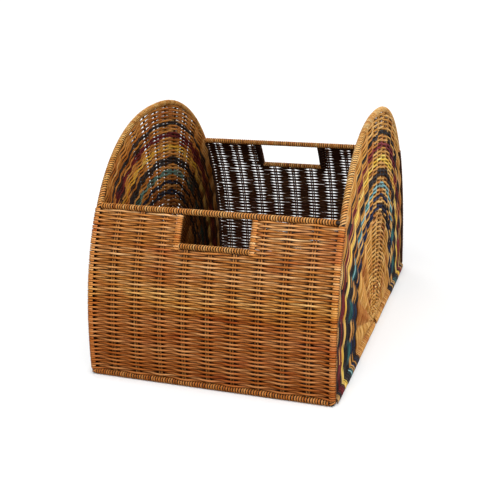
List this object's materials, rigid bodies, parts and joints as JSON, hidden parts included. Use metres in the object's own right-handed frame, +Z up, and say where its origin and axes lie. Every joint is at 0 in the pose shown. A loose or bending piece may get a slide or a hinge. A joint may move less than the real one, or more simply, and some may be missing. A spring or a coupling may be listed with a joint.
{
  "type": "rattan laundry basket",
  "caption": "Open rattan laundry basket with arched end panels in dyed bands, curved front and back walls, a wound rim and a hand hole in each wall.",
  "frame": {"origin": "middle of the footprint, on the floor", "axes": "+X to the right seen from the front, +Y from the front wall to the back wall, +Z up"},
  "size_m": [0.406, 0.596, 0.386],
  "materials": {
    "frame_rod": "dark iron wire, hidden under the wound cane",
    "wound_cane": "round cane wound close, honey brown with a satin lacquer",
    "woven_cane": "round cane woven over and under, honey to chestnut, satin lacquer",
    "stake_cane": "plain cane stakes, matt",
    "dyed_cool_cane": "cane dyed black, navy and turquoise between natural strands",
    "dyed_warm_cane": "cane dyed yellow, burgundy and black between natural strands"
  },
  "bodies": {
    "root": {"left_arch_rod": "frame_rod", "right_arch_rod": "frame_rod", "front_rim_rod": "frame_rod", "back_rim_rod": "frame_rod", "front_base_rod": "frame_rod", "back_base_rod": "frame_rod", "left_base_rod": "frame_rod", "right_base_rod": "frame_rod", "front_handle_rod": "frame_rod", "back_handle_rod": "frame_rod", "left_arch_wrap": "wound_cane", "right_arch_wrap": "wound_cane", "front_rim_wrap": "wound_cane", "back_rim_wrap": "wound_cane", "front_base_wrap": "wound_cane", "back_base_wrap": "wound_cane", "left_base_wrap": "wound_cane", "right_base_wrap": "wound_cane", "front_handle_wrap": "wound_cane", "back_handle_wrap": "wound_cane", "front_stakes": "stake_cane", "back_stakes": "stake_cane", "base_stakes": "stake_cane", "left_end_stakes": "stake_cane", "right_end_stakes": "stake_cane", "front_weave": "woven_cane", "back_weave": "woven_cane", "base_weave": "woven_cane", "left_hub_weave": "woven_cane", "left_centre_weave": "woven_cane", "left_cool_band_weave": "dyed_cool_cane", "left_warm_band_weave": "dyed_warm_cane", "left_border_weave": "woven_cane", "right_hub_weave": "woven_cane", "right_centre_weave": "woven_cane", "right_cool_band_weave": "dyed_cool_cane", "right_warm_band_weave": "dyed_warm_cane", "right_border_weave": "woven_cane"}
  },
  "joints": []
}
